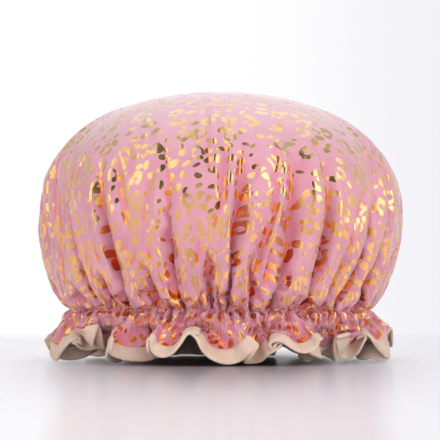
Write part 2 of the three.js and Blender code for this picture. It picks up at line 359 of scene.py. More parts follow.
fit = dict(
    outerShare=90,
    steadyRing=13,  # rings nearer the apex grow as this one does
    fadeRings=6, topInset=0.0004, hemRise=0.024, hemRiseBack=-0.003, backSpan=(135, 155),
    riseGive=0.004, hemReach=0.1165, reachGive=0.003, hemLow=0.0012, lobeSpan=11, archSmooth=4,
    archPower=1.6, archFlare=0.3, dropPower=1.3,
    arches=[  # angle, rise and half width of each arch that the hem makes over the table
        (-95, 0.022, 6), (-54, 0.027, 8), (-34, 0.020, 4), (-20, 0.024, 6), (-11, 0.015, 5), (6, 0.019, 4),
        (30, 0.027, 7), (53, 0.025, 6), (91, 0.020, 6), (114, 0.016, 6), (226, 0.012, 7), (245, 0.016, 5),
    ],
)


def fitProfile(points):  # brings the settled cloth to the cap's measured outline
    first = fit["steadyRing"]
    last = gatherRing - fit["fadeRings"]
    grown = np.ones(lastRing + 1)
    reach = reachOf(points)
    for k in range(first, gatherRing + 1):
        ring = ringOf == k
        wanted = np.interp(np.mean(points[ring, 2]), profileHeight[::-1], profileReach[::-1])
        grown[k] = wanted / np.percentile(reach[ring], fit["outerShare"])
    grown[:first] = grown[first]
    grown[last:] = np.linspace(grown[last], 1, lastRing + 1 - last)
    grown = np.convolve(np.pad(grown, 4, mode="edge"), np.ones(9) / 9, mode="valid")
    grown[gatherRing:] = 1
    top = points[0, 2]
    share = np.clip((points[:, 2] - capShape["widest"]) / (top - capShape["widest"]), 0, 1)
    points = points * np.stack([grown[ringOf], grown[ringOf], np.ones(len(points))], 1)
    points[:, 2] += share ** 2 * (capShape["top"] - fit["topInset"] - top)
    return points


def softened(over, give):  # how much of a bulge is left
    return give * (1 - np.exp(-over / give))


def tameHem(points):  # no lobe of the frill stands higher than in the photo
    inFrill = frillShare > 0
    rise = fit["hemRise"] + (fit["hemRiseBack"] - fit["hemRise"]) * backShare(*fit["backSpan"])
    limit = capShape["gather"] - frillShare * (capShape["gather"] - rise)
    over = np.clip(points[:, 2] - limit, 0, None) * inFrill
    points[:, 2] -= over - softened(over, fit["riseGive"])
    reach = reachOf(points)
    far = np.clip(reach - fit["hemReach"], 0, None) * inFrill
    setReach(points, reach - far + softened(far, fit["reachGive"]))
    points[:, 2] = np.maximum(points[:, 2], fit["hemLow"] * inFrill)
    return points


def evened(values, span):  # a running mean round the hem
    padded = np.concatenate([values[-span:], values, values[:span]])
    return np.convolve(padded, np.ones(2 * span + 1) / (2 * span + 1), mode="valid")


def fromHem(values):  # values along the hem, read at the angle of every point
    return np.interp(angleOf, np.append(angleOf[onHem], 2 * np.pi), np.append(values, values[0]))


def liftArches(points):
    degrees = (np.degrees(angleOf[onHem]) + 180) % 360 - 180
    wanted = np.zeros(len(degrees))
    for angle, rise, width in fit["arches"]:
        away = (degrees - angle + 180) % 360 - 180
        wanted = np.maximum(wanted, rise * np.exp(-(away / width) ** 2))
    rise = evened(np.clip(wanted - points[onHem, 2], 0, None), fit["archSmooth"])
    lift = fromHem(rise) * frillShare ** fit["archPower"]
    points[:, 2] += lift
    setReach(points, reachOf(points) + fit["archFlare"] * lift)
    return points


def setDown(points):  # the lowest part of every lobe stands on the table
    heights = points[onHem, 2]
    span = int(len(heights) * fit["lobeSpan"] / 360)
    lowest = np.min([np.roll(heights, shift) for shift in range(-span, span + 1)], axis=0)
    drop = fromHem(evened(lowest, span)) - fit["hemLow"]
    points[:, 2] -= drop * frillShare ** fit["dropPower"]
    points[:, 2] = np.maximum(points[:, 2], fit["hemLow"] * (frillShare > 0))
    return points


clothPoints = setDown(liftArches(tameHem(fitProfile(settleCloth()))))
print("cloth settled, top", round(clothPoints[0, 2], 4))


def spline(before, first, second, after, t):
    a = 2 * first
    b = second - before
    c = 2 * before - 5 * first + 4 * second - after
    d = 3 * first - before - 3 * second + after
    return 0.5 * (a + b * t + c * t ** 2 + d * t ** 3)


def ringColumns(angles):  # every ring of the cloth read at the same angles
    columns = np.empty((lastRing + 1, len(angles), 3))
    columns[0] = clothPoints[0]
    for k in range(1, lastRing + 1):
        loop = clothPoints[ringStart[k]:ringStart[k] + 6 * k]
        place = angles / (2 * np.pi) * 6 * k
        i = np.floor(place).astype(int)
        near = [loop[(i + shift) % (6 * k)] for shift in (-1, 0, 1, 2)]
        columns[k] = spline(*near, (place - i)[:, None])
    return columns


def clothRows(columns, arcs):  # the cloth at any distance from the apex
    place = np.interp(arcs, ringArc, np.arange(lastRing + 1))
    i = np.clip(np.floor(place).astype(int), 0, lastRing - 1)
    opposite = np.roll(columns[1], columns.shape[1] // 2, axis=0)
    padded = np.concatenate([opposite[None], columns, (2 * columns[-1] - columns[-2])[None]])
    return spline(*(padded[i + shift] for shift in range(4)), (place - i)[:, None, None])


def gridNormals(grid):
    across = np.roll(grid, -1, axis=1) - np.roll(grid, 1, axis=1)
    return unit(np.cross(np.gradient(grid, axis=0), across))


pucker = dict(
    waves=14, height=0.0013, reach=0.011, wallHeight=0.0001, wallFrom=(0.09, 0.2), neckHalf=0.0045,
    neckGive=0.0005,
)


def ripple(arcs, angles, seed, low, high, turnArc):  # small puckers, about one unit high
    dice = np.random.default_rng(seed)
    total = np.zeros((len(arcs), len(angles)))
    for wave in range(pucker["waves"]):
        count = dice.integers(low, high)
        phase = dice.uniform(0, 2 * np.pi)
        drift = dice.normal(0, 1) * arcs / turnArc
        total += np.cos(count * angles[None, :] + phase + drift[:, None])
    return total / math.sqrt(pucker["waves"])


def clothSurface(angles, arcs):
    grid = clothRows(ringColumns(angles), arcs)
    near = np.exp(-((arcs - gatherArc) / pucker["reach"]) ** 2)
    wall = ease(*pucker["wallFrom"], arcs) * (1 - ease(gatherArc + 0.01, hemArc, arcs))
    fine = ripple(arcs, angles, 21, 60, 130, 0.02) * near[:, None] * pucker["height"]
    broad = ripple(arcs, angles, 22, 24, 80, 0.03) * wall[:, None] * pucker["wallHeight"]
    grid = grid + gridNormals(grid) * (fine + broad)[:, :, None]
    reach = reachOf(grid)
    atNeck = np.abs(grid[:, :, 2] - capShape["gather"]) < pucker["neckHalf"]
    setReach(grid, np.where(atNeck, np.maximum(reach, drape["collar"] - pucker["neckGive"]), reach))
    return grid


def clothPiece(name, top, grid, arcs, angles):  # one round sheet, its flat cut kept as its UV map
    points = np.concatenate([[top], grid.reshape(-1, 3)])
    piece = newPiece(name, points, discFaces(len(arcs), len(angles)))
    flat = arcs[:, None, None] * np.stack([np.sin(angles), -np.cos(angles)], 1)[None]
    flat = 0.5 + np.concatenate([[[0, 0]], flat.reshape(-1, 2)]) / (2 * hemArc)
    loops = np.empty(len(piece.data.loops), np.int32)
    piece.data.loops.foreach_get("vertex_index", loops)
    layer = piece.data.uv_layers.new(name="flatCut")
    layer.data.foreach_set("uv", flat[loops].astype(np.float32).ravel())
    print(name, len(piece.data.polygons), "faces")
    return piece


# the satin circle
satinCut = dict(
    columns=720, crownRows=58, wallRows=46, frillRows=28,
    crownEnd=0.17, frillFrom=0.006, edge=0.0003,
    broadFold=(11, 0.0011, 0.0046), finePucker=(3, 0.00004, 0.0004),  # columns, and depth from and to
)
satinAngles = turns(satinCut["columns"])
satinArcs = np.concatenate([
    rowsTo(0, satinCut["crownEnd"], satinCut["crownRows"]),
    rowsTo(satinCut["crownEnd"], gatherArc - satinCut["frillFrom"], satinCut["wallRows"]),
    rowsTo(gatherArc - satinCut["frillFrom"], hemArc - satinCut["edge"], satinCut["frillRows"]),
])
satinGrid = clothSurface(satinAngles, satinArcs)
satinCap = clothPiece("satin_cap", clothPoints[0], satinGrid, satinArcs, satinAngles)


def foldDepth(grid, reach, shallow, deep):  # 1 at the bottom of a fold, 0 on open cloth
    total = grid.copy()
    for shift in range(1, reach + 1):
        total += np.roll(grid, shift, axis=1) + np.roll(grid, -shift, axis=1)
    inward = np.sum((total / (2 * reach + 1) - grid) * gridNormals(grid), axis=2)
    return ease(shallow, deep, inward)


# how deep each fold is, which the satin's painted fold shade and fold reflection follow
broadFolds = foldDepth(satinGrid, *satinCut["broadFold"])
finePuckers = foldDepth(satinGrid, *satinCut["finePucker"])
satinFolds = np.concatenate([[0], np.maximum(broadFolds, finePuckers).ravel()])
foldLayer = satinCap.data.attributes.new("foldDepth", "FLOAT", "POINT")
foldLayer.data.foreach_set("value", satinFolds.astype(np.float32))

# the film lining, drawn in below the elastic so that the channel closes round it
liningCut = dict(
    columns=480, crownRows=83, skirtRows=29, skirtFrom=0.02, edge=0.0006,
    gap=0.0008, neck=elasticBox[1].x - 0.0034, neckHalf=0.0045, pull=0.008,
    waves=64, waveHeight=0.0003,
)
liningAngles = turns(liningCut["columns"])
liningArcs = np.concatenate([
    rowsTo(0, gatherArc - liningCut["skirtFrom"], liningCut["crownRows"]),
    rowsTo(gatherArc - liningCut["skirtFrom"], hemArc - liningCut["edge"], liningCut["skirtRows"]),
])
liningGrid = clothSurface(liningAngles, liningArcs)
liningGrid = liningGrid - gridNormals(liningGrid) * liningCut["gap"]
liningReach = reachOf(liningGrid)
neckEnd = liningCut["neckHalf"] + liningCut["pull"]
pulled = 1 - ease(liningCut["neckHalf"], neckEnd, np.abs(liningArcs - gatherArc))
neckLine = liningCut["neck"] + liningCut["waveHeight"] * np.cos(liningCut["waves"] * liningAngles)
drawnIn = np.minimum(liningReach, neckLine[None, :]) - liningReach
setReach(liningGrid, liningReach + drawnIn * pulled[:, None])
liningTop = clothPoints[0] - np.array([0, 0, liningCut["gap"]])
filmLining = clothPiece("film_lining", liningTop, liningGrid, liningArcs, liningAngles)

# the tape folded over the hem
mm = 0.001
tapeCut = dict(columns=880, readTo=0.0105, readRows=22, hemStep=0.003, low=0.0001)
tapeAngles = turns(tapeCut["columns"])
tapeSection = [  # height above the hem and distance from the satin, in millimetres, once round
    (10.0, 0.45), (9.9, 0.72), (9.2, 0.78), (8.6, 0.66), (7.5, 0.74), (6, 0.76), (4.5, 0.74), (3, 0.72),
    (1.6, 0.70), (0.5, 0.66), (-0.25, 0.44), (-0.62, 0.0), (-0.68, -0.45), (-0.5, -0.95), (-0.1, -1.28),
    (0.8, -1.45), (2.2, -1.5), (4, -1.52), (6, -1.54), (8, -1.48), (8.8, -1.42), (9.3, -1.5), (9.5, -1.28),
    (9.1, -1.1), (7, -1.12), (4, -1.1), (1.2, -1.06), (0.3, -0.86), (0.02, -0.42), (0.2, 0.05), (1.2, 0.3),
    (4, 0.34), (7, 0.34), (9.4, 0.34),
]
tapeColumns = ringColumns(tapeAngles)
hemEdge = tapeColumns[-1]
hemDown = unit(hemEdge - clothRows(tapeColumns, np.array([hemArc - tapeCut["hemStep"]]))[0])
tapeRise = np.array([max(h, 0) for h, out in tapeSection]) * mm
heights = np.unique(np.concatenate([tapeRise, np.linspace(0, tapeCut["readTo"], tapeCut["readRows"])]))
hemArcs = hemArc - heights[::-1]
hemGrid = clothSurface(tapeAngles, hemArcs)
hemNormals = gridNormals(hemGrid)
tapeGrid = []
for h, out in tapeSection:
    at = np.searchsorted(hemArcs, hemArc - max(h, 0) * mm - 1e-9)
    at = min(at, len(hemArcs) - 1)
    tapeGrid.append(hemGrid[at] + hemNormals[at] * out * mm + hemDown * max(-h, 0) * mm)
tapeGrid = np.array(tapeGrid)
tapeGrid[:, :, 2] = np.maximum(tapeGrid[:, :, 2], tapeCut["low"])
tapeLoops, tapeAround = len(tapeSection), len(tapeAngles)
tapeFaces = bands([(i * tapeAround, (i + 1) % tapeLoops * tapeAround) for i in range(tapeLoops)], tapeAround)
hemTape = newPiece("hem_tape", tapeGrid.reshape(-1, 3), tapeFaces)
hemStep = np.linalg.norm(np.roll(hemEdge, -1, axis=0) - hemEdge, axis=1)
hemLength = hemStep.sum()
tapeRun = np.concatenate([[0], np.cumsum(hemStep)]) / hemLength
sectionStep = [math.dist(a, b) for a, b in zip(tapeSection, tapeSection[1:] + tapeSection[:1])]
tapeWidth = sum(sectionStep) * mm
tapeAcross = np.concatenate([[0], np.cumsum(sectionStep)]) / sum(sectionStep)
tapeUv = []
for low, high in zip(tapeAcross, tapeAcross[1:]):
    for left, right in zip(tapeRun, tapeRun[1:]):
        tapeUv += [left, low, left, high, right, high, right, low]
tapeLayer = hemTape.data.uv_layers.new(name="tapeRun")
tapeLayer.data.foreach_set("uv", np.array(tapeUv, np.float32))
print("hem_tape", len(hemTape.data.polygons), "faces, hem", round(hemLength, 3), "m long")

seam = dict(
    length=0.0026, gap=0.0006, radius=0.00024, sink=0.00016, sides=6, columns=1440,
    channel=0.005, hemUp=0.0087, readHalf=0.0008, tangentHalf=0.0004,
    shape=[(-0.5, 0.45, -1), (-0.38, 0.9, -0.2), (0, 1, 0.35), (0.38, 0.9, -0.2), (0.5, 0.45, -1)],
)


def stitchRow(name, arc, out):  # one machine seam as a row of short threads
    angles = turns(seam["columns"])
    grid = clothSurface(angles, arc + np.array([-1, 0, 1]) * seam["readHalf"])
    normals = gridNormals(grid)[1]
    path = grid[1] + normals * out
    step = np.linalg.norm(np.roll(path, -1, axis=0) - path, axis=1)
    run = np.concatenate([[0], np.cumsum(step)])
    count = int(run[-1] / (seam["length"] + seam["gap"]))
    pitch = run[-1] / count

    def along(rows, where):  # rows read at a distance along the seam
        closed = np.concatenate([rows, rows[:1]])
        return np.stack([np.interp(where % run[-1], run, closed[:, c]) for c in range(3)], 1)

    middle = (np.arange(count) + 0.5) * pitch
    normal = unit(along(normals, middle)) * (1 if out >= 0 else -1)
    tangent = unit(along(path, middle + seam["tangentHalf"]) - along(path, middle - seam["tangentHalf"]))
    beside = np.cross(normal, tangent)
    rings = []
    for place, thick, lift in seam["shape"]:
        centre = along(path, middle + place * (pitch - seam["gap"])) + normal * lift * seam["sink"]
        for a in turns(seam["sides"]):
            rings.append(centre + (normal * math.cos(a) + beside * math.sin(a)) * seam["radius"] * thick)
    sides, each = seam["sides"], len(rings)
    pattern = []
    for i in range(len(seam["shape"]) - 1):
        for k in range(sides):
            a, b = i * sides + k, i * sides + (k + 1) % sides
            pattern.append((a, b, b + sides, a + sides))
    pattern += [tuple(reversed(range(sides))), tuple(range(each - sides, each))]
    faces = [tuple(v + n * each for v in f) for n in range(count) for f in pattern]
    return newPiece(name, np.stack(rings, 1).reshape(-1, 3), faces)


upperArc, lowerArc = gatherArc - seam["channel"], gatherArc + seam["channel"]
hemSeamArc = hemArc - seam["hemUp"]
stitchPieces = {}
for name, arc, out, node in [
    ("channel_upper_stitches", upperArc, 0.00012, "channel_upper_needle_thread"),
    ("channel_lower_stitches", lowerArc, 0.00012, "channel_lower_needle_thread"),
    ("channel_upper_inner_stitches", upperArc, -0.0012, "channel_upper_bobbin_thread"),
    ("channel_lower_inner_stitches", lowerArc, -0.0012, "channel_lower_bobbin_thread"),
    ("hem_stitches", hemSeamArc, 0.00078, "hem_needle_thread"),
    ("hem_inner_stitches", hemSeamArc, -0.00152, "hem_bobbin_thread"),
]:
    stitchPieces[name] = (stitchRow(name, arc, out), node)
print("stitches", sum(len(p.data.polygons) for p, n in stitchPieces.values()), "faces")


# materials
class Wire:  # a value in a node tree, so that sums of nodes read as sums
    def __init__(self, socket):
        self.socket = socket
        self.tree = socket.id_data

    def __add__(self, other):
        return calc("ADD", self, other)

    def __sub__(self, other):
        return calc("SUBTRACT", self, other)

    def __rsub__(self, other):
        return calc("SUBTRACT", other, self)

    def __mul__(self, other):
        return calc("MULTIPLY", self, other)

    def __gt__(self, other):
        return calc("GREATER_THAN", self, other)

    def __abs__(self):
        return calc("ABSOLUTE", self)


def addNode(tree, kind, inputs, **settings):
    node = tree.nodes.new("ShaderNode" + kind)
    giveAll(node, settings)
    for key, value in inputs.items():
        if isinstance(value, Wire):
            tree.links.new(value.socket, node.inputs[key])
        else:
            node.inputs[key].default_value = value
    return node


def wire(tree, kind, inputs, output=0, **settings):
    return Wire(addNode(tree, kind, inputs, **settings).outputs[output])


def feed(node, label, value):
    value.tree.links.new(value.socket, node.inputs[label])


def calc(operation, *values):
    tree = next(v.tree for v in values if isinstance(v, Wire))
    return wire(tree, "Math", dict(enumerate(values)), operation=operation)


def larger(a, b):
    return calc("MAXIMUM", a, b)


def steer(operation, *vectors):
    output = "Value" if operation in ("LENGTH", "DOT_PRODUCT") else "Vector"
    inputs = dict(enumerate(vectors))
    return wire(vectors[0].tree, "VectorMath", inputs, output, operation=operation)


def stretch(vector, amount):
    return wire(vector.tree, "VectorMath", {0: vector, "Scale": amount}, operation="SCALE")


def split(vector):
    return [Wire(socket) for socket in addNode(vector.tree, "SeparateXYZ", {0: vector}).outputs]


def ramp(value, low, high, to=(0.0, 1.0), how="LINEAR"):
    inputs = {"Value": value, "From Min": low, "From Max": high, "To Min": to[0], "To Max": to[1]}
    return wire(value.tree, "MapRange", inputs, "Result", interpolation_type=how)


def soft(value, low, high, to=(0.0, 1.0)):
    return ramp(value, low, high, to, "SMOOTHSTEP")


mixSockets = {"FLOAT": (2, 3, 0), "VECTOR": (4, 5, 1), "RGBA": (6, 7, 2)}  # the two inputs and the output


def mix(factor, a, b, kind="RGBA"):
    first, second, result = mixSockets[kind]
    return wire(factor.tree, "Mix", {0: factor, first: a, second: b}, result, data_type=kind)


def noise(place, scale, detail, roughness=0.5, distortion=0.0, output="Fac", **settings):
    inputs = {"Vector": place, "Scale": scale, "Detail": detail}
    inputs |= {"Roughness": roughness, "Distortion": distortion}
    return wire(place.tree, "TexNoise", inputs, output, **settings)


def bumped(height, depth, strength=1.0):
    inputs = {"Height": height, "Strength": strength, "Distance": depth}
    return wire(height.tree, "Bump", inputs, "Normal")


def flatPlace(tree):  # metres on the flat cut, from its middle
    flat = wire(tree, "UVMap", {}, "UV", uv_map="flatCut")
    return stretch(steer("SUBTRACT", flat, (0.5, 0.5, 0.0)), 2 * hemArc)


def startGroup(name, inputs, outputs):  # an input without a value is a place
    group = bpy.data.node_groups.new(name, "ShaderNodeTree")
    for label, value in inputs.items():
        kind = "NodeSocketVector" if value is None else "NodeSocketFloat"
        socket = group.interface.new_socket(label, in_out="INPUT", socket_type=kind)
        if value is not None:
            socket.default_value = value
    for label in outputs:
        group.interface.new_socket(label, in_out="OUTPUT", socket_type="NodeSocketFloat")
    given = group.nodes.new("NodeGroupInput")
    made = group.nodes.new("NodeGroupOutput")
    return group, [Wire(given.outputs[label]) for label in inputs], made


def useGroup(group, output, **inputs):
    return wire(inputs["Place"].tree, "Group", inputs, output, node_tree=group)


def newMaterial(name, **constants):
    material = bpy.data.materials.new(name)
    material.use_nodes = True
    shader = material.node_tree.nodes["Principled BSDF"]
    for key, value in constants.items():
        shader.inputs[key.replace("_", " ")].default_value = value
    return material, material.node_tree, shader


def mottleGroup():  # slow change of tone over a cloth
    group, (place, scale), made = startGroup("clothMottle", {"Place": None, "Scale": 30.0}, ["Tone"])
    feed(made, "Tone", soft(noise(place, scale, 4.0, 0.6), 0.3, 0.7))
    return group


def weaveGroup():  # crossing threads, raised in turn
    inputs = {"Place": None, "Threads": 3000.0, "Twill": 0.0}
    group, (place, threads, twill), made = startGroup("threadWeave", inputs, ["Height"])
    x, y = split(place)[:2]
    along = y * threads
    shifted = x * threads + along * twill
    feed(made, "Height", ramp(calc("SINE", shifted) * calc("SINE", along), -1, 1))
    return group


def crumpleGroup():  # soft dents
    group, (place, scale), made = startGroup("softCrumple", {"Place": None, "Scale": 60.0}, ["Height"])
    feed(made, "Height", noise(place, scale, 1.5, 0.4, 0.4))
    return group


ink = dict(
    ringCell=0.0168, ringScatter=0.62, ringShare=0.55, ringOval=1.22, ringClear=0.43,
    radius=(0.215, 0.06), stroke=(0.064, 0.142), strokeSpread=0.02,  # in shares of a cell
    mouth=(0.55, 0.5), back=0.5,  # half angles of the gaps in a ring
    spotCell=0.0084, spotScatter=0.7, spotOval=1.65, spotShift=(0.0371, 0.0193, 0),
    spotSize=(0.25, 0.27), spotTurn=(1.5, 1.9),
    warp=0.0024, warpScale=85.0, swellScale=150.0, none=5.0, edge=(-0.010, 0.014),
)


def foilGroup():  # broken rings with filled spots between them
    group, (cloth,), made = startGroup("foilSpots", {"Cloth": None}, ["Mask", "Tone", "Tilt"])
    ringCell, spotCell = ink["ringCell"], ink["spotCell"]

    def scatter(place, cell, randomness):
        inputs = {"Vector": place, "Scale": 1 / cell, "Randomness": randomness}
        cells = addNode(group, "TexVoronoi", inputs, voronoi_dimensions="2D").outputs
        dice = addNode(group, "SeparateColor", {0: Wire(cells["Color"])}).outputs
        return cells, [Wire(dice[c]) for c in ("Red", "Green", "Blue")]

    def turnedOval(local, angle, oval):
        inputs = {"Vector": local, "Angle": angle}
        turned = wire(group, "VectorRotate", inputs, rotation_type="Z_AXIS")
        return steer("MULTIPLY", turned, (1.0, oval, 0.0))

    drift = noise(cloth, ink["warpScale"], 1.0, output="Color", noise_dimensions="2D")
    bent = steer("ADD", cloth, stretch(steer("SUBTRACT", drift, (0.5, 0.5, 0.5)), 2 * ink["warp"]))
    swell = noise(cloth, ink["swellScale"], 0.0, noise_dimensions="2D")
    rings, ringDice = scatter(bent, ringCell, ink["ringScatter"])
    first, second, third = ringDice
    local = stretch(steer("SUBTRACT", bent, Wire(rings["Position"])), 1 / ringCell)
    oval = turnedOval(local, first * (2 * math.pi), ink["ringOval"])
    x, y = split(oval)[:2]
    y = abs(y)
    radius = second * ink["radius"][1] + ink["radius"][0]
    stroke = ramp(swell, 0.3, 0.7, ink["stroke"]) + third * ink["strokeSpread"]
    onRing = abs(steer("LENGTH", oval) - radius)

    def openArc(along, cosine, sine):  # distance from a ring that is open on one side, with round ends
        endX, endY = radius * cosine, radius * sine
        gapX, gapY = along - endX, y - endY
        toEnd = calc("SQRT", gapX * gapX + gapY * gapY)
        return mix(along * endY > y * endX, onRing, toEnd, "FLOAT")

    mouthHalf = third * ink["mouth"][1] + ink["mouth"][0]
    mouth = openArc(x, calc("COSINE", mouthHalf), calc("SINE", mouthHalf))
    back = openArc(x * -1.0, math.cos(ink["back"]), math.sin(ink["back"]))
    broken = mix(second > 0.5, mouth, larger(mouth, back), "FLOAT")
    ringEdge = stroke - broken - (third > ink["ringShare"]) * ink["none"]
    moved = steer("ADD", bent, ink["spotShift"])
    spots, spotDice = scatter(moved, spotCell, ink["spotScatter"])
    spotPlace = Wire(spots["Position"])
    spotLocal = stretch(steer("SUBTRACT", moved, spotPlace), 1 / spotCell)
    spotAngle = spotDice[0] * ink["spotTurn"][1] - ink["spotTurn"][0]
    spotFar = steer("LENGTH", turnedOval(spotLocal, spotAngle, ink["spotOval"]))
    spotSize = spotDice[1] * ink["spotSize"][1] + ink["spotSize"][0]
    centre = steer("SUBTRACT", spotPlace, ink["spotShift"])
    around, aroundDice = scatter(centre, ringCell, ink["ringScatter"])
    clear = larger(aroundDice[2] > ink["ringShare"], Wire(around["Distance"]) > ink["ringClear"])
    spotEdge = (spotSize - spotFar) * (spotCell / ringCell) - (1.0 - clear) * ink["none"]
    fromTop = steer("LENGTH", cloth)
    fuller = soft(fromTop, 0.06, 0.22, (-0.012, 0.024))  # on the gathered wall
    edge = larger(ringEdge, spotEdge) + fuller - soft(fromTop, gatherArc, gatherArc + 0.01, (0.0, 0.03))
    feed(made, "Mask", soft(edge, *ink["edge"]))
    feed(made, "Tone", (second + spotDice[2]) * 0.5)

    def slope(place, dice):  # every spot lies a little askew
        inputs = {"X": ramp(dice[1], 0, 1, (-1.0, 1.0)), "Y": ramp(dice[2], 0, 1, (-1.0, 1.0))}
        return steer("DOT_PRODUCT", place, wire(group, "CombineXYZ", inputs))

    feed(made, "Tilt", mix(spotEdge > ringEdge, slope(local, ringDice), slope(spotLocal, spotDice), "FLOAT"))
    return group


mottle = mottleGroup()
weave = weaveGroup()
crumple = crumpleGroup()
foilSpots = foilGroup()

satinLook = dict(
    # the pink in folds and creases is painted shade, the pink over the top painted sheen, and the gold in
    # folds and lower down painted reflection
    pink=(0.62, 0.285, 0.352, 1), pinkDeep=(0.545, 0.225, 0.285, 1), pinkFoldShade=(0.60, 0.155, 0.22, 1),
    pinkPaintedSheen=(0.66, 0.375, 0.455, 1), pinkCreaseShade=(0.40, 0.075, 0.115, 1),
    gold=(0.64, 0.465, 0.215, 1), goldDeep=(0.57, 0.375, 0.15, 1), goldFoldReflection=(0.80, 0.20, 0.03, 1),
    goldLowReflection=(0.89, 0.42, 0.175, 1),
    metal=0.97, clothRough=(0.40, 0.48), foilRough=(0.17, 0.28),
    dents=0.65, creases=0.9, threads=0.05, foilTilt=0.8, bump=0.0011,
)


def makeSatin():
    material, tree, shader = newMaterial(
        "foil_printed_satin", Sheen_Weight=0.6, Sheen_Roughness=0.42, Sheen_Tint=(1.0, 0.93, 0.97, 1),
        Specular_IOR_Level=0.5)
    look = satinLook
    place = flatPlace(tree)
    foil = addNode(tree, "Group", {"Cloth": place}, node_tree=foilSpots).outputs
    foilTone = Wire(foil["Tone"])
    mask = Wire(foil["Mask"]) * (1.0 - wire(tree, "NewGeometry", {}, "Backfacing"))
    tone = useGroup(mottle, "Tone", Place=place, Scale=26.0)
    away = steer("LENGTH", place)
    fold = wire(tree, "Attribute", {}, "Fac", attribute_name="foldDepth")
    fold = fold * soft(away, 0.10, 0.18, (0.2, 1.0))
    pink = mix(tone, look["pink"], look["pinkDeep"])
    pink = mix(soft(away, 0.15, 0.07), pink, look["pinkPaintedSheen"])  # painted sheen: paler over the crown, where the light grazes the satin
    # painted shade: darker, redder pink in the bottoms of the folds
    pink = mix(fold * 0.75, pink, look["pinkFoldShade"])

    def streaks(around, run, detail):  # creases that run from the crown to the hem
        rise = wire(tree, "CombineXYZ", {"Z": away * run})
        return noise(steer("ADD", stretch(steer("NORMALIZE", place), around), rise), 1.0, detail)

    creases = streaks(24.0, 26.0, 2.0)
    sharp = abs(creases * 2.0 - 1.0)
    fineSharp = abs(streaks(57.6, 60.0, 1.0) * 2.0 - 1.0)
    fromGather = abs(away - gatherArc)
    nearGather = soft(fromGather, 0.10, 0.0)
    atGather = soft(fromGather, 0.03, 0.004, (0.0, 1.1))
    # painted shade: dark red lines along the creases near the gather
    creaseShade = soft(sharp, 0.045, 0.0) * nearGather * 0.45
    fineCreaseShade = soft(fineSharp, 0.10, 0.0) * atGather * 0.6
    pink = mix(larger(creaseShade, fineCreaseShade), pink, look["pinkCreaseShade"])
    gold = mix(foilTone, look["gold"], look["goldDeep"])
    # painted reflection: the foil is warmer and brighter lower down, as if it mirrored the pink frill and
    # the floor
    gold = mix(soft(away, 0.09, gatherArc, (0.0, 0.85)), gold, look["goldLowReflection"])
    # painted reflection: the foil in the folds turns orange-red as if it mirrored the pink satin
    gold = mix(fold, gold, look["goldFoldReflection"])
    feed(shader, "Base Color", mix(mask, pink, gold))
    feed(shader, "Metallic", mask * look["metal"])
    foilRough = ramp(foilTone, 0, 1, look["foilRough"])
    feed(shader, "Roughness", mix(mask, ramp(tone, 0, 1, look["clothRough"]), foilRough, "FLOAT"))
    dents = useGroup(crumple, "Height", Place=place, Scale=46.0)
    threads = useGroup(weave, "Height", Place=place, Threads=9000.0, Twill=0.5)
    creaseHeight = (creases + sharp) * (nearGather * 0.9 + 0.1)
    height = dents * look["dents"] + creaseHeight * look["creases"] + fineSharp * atGather
    woven = bumped(height + threads * look["threads"], look["bump"])
    printed = bumped(height + Wire(foil["Tilt"]) * look["foilTilt"], look["bump"])
    feed(shader, "Normal", mix(mask, woven, printed, "VECTOR"))
    return material


liningLook = dict(
    clear=(0.78, 0.74, 0.76, 1), dull=(0.70, 0.64, 0.67, 1), alpha=(0.55, 0.66), bump=0.0012,
)


def makeLining():
    material, tree, shader = newMaterial("frosted_film", Roughness=0.34, Specular_IOR_Level=0.5)
    place = flatPlace(tree)
    tone = useGroup(mottle, "Tone", Place=place, Scale=40.0)
    feed(shader, "Base Color", mix(tone, liningLook["clear"], liningLook["dull"]))
    feed(shader, "Alpha", ramp(tone, 0, 1, liningLook["alpha"]))
    dents = useGroup(crumple, "Height", Place=place, Scale=120.0)
    feed(shader, "Normal", bumped(dents, liningLook["bump"]))
    return material


tapeLook = dict(
    light=(0.70, 0.525, 0.425, 1), dark=(0.63, 0.455, 0.355, 1), between=(0.53, 0.37, 0.285, 1),
    betweenShare=0.35, rough=(0.55, 0.72), dents=0.6, threads=0.14, bump=0.0006,
)


def makeTape():
    material, tree, shader = newMaterial(
        "beige_bias_tape", Sheen_Weight=0.3, Sheen_Roughness=0.5, Sheen_Tint=(1.0, 0.95, 0.9, 1),
        Specular_IOR_Level=0.3)
    run = wire(tree, "UVMap", {}, "UV", uv_map="tapeRun")
    place = steer("MULTIPLY", run, (float(hemLength), float(tapeWidth), 0.0))
    tone = useGroup(mottle, "Tone", Place=place, Scale=120.0)
    threads = useGroup(weave, "Height", Place=place, Threads=7200.0, Twill=1.0)
    base = mix(tone, tapeLook["light"], tapeLook["dark"])
    feed(shader, "Base Color", mix(threads * tapeLook["betweenShare"], base, tapeLook["between"]))
    feed(shader, "Roughness", ramp(threads, 0, 1, tapeLook["rough"]))
    dents = useGroup(crumple, "Height", Place=place, Scale=230.0)
    height = dents * tapeLook["dents"] + threads * tapeLook["threads"]
    feed(shader, "Normal", bumped(height, tapeLook["bump"]))
    return material


threadLook = dict(rough=(0.42, 0.58), bump=0.0001, bumpStrength=0.8)


def makeThread(name, light, dark):
    material, tree, shader = newMaterial(
        name, Sheen_Weight=0.2, Sheen_Roughness=0.45, Specular_IOR_Level=0.4)
    place = wire(tree, "TexCoord", {}, "Object")
    twist = useGroup(weave, "Height", Place=place, Threads=14000.0, Twill=1.0)
    tone = useGroup(mottle, "Tone", Place=place, Scale=300.0)
    feed(shader, "Base Color", mix((twist + tone) * 0.5, light, dark))
    feed(shader, "Roughness", ramp(twist, 0, 1, threadLook["rough"]))
    feed(shader, "Normal", bumped(twist, threadLook["bump"], threadLook["bumpStrength"]))
    return material


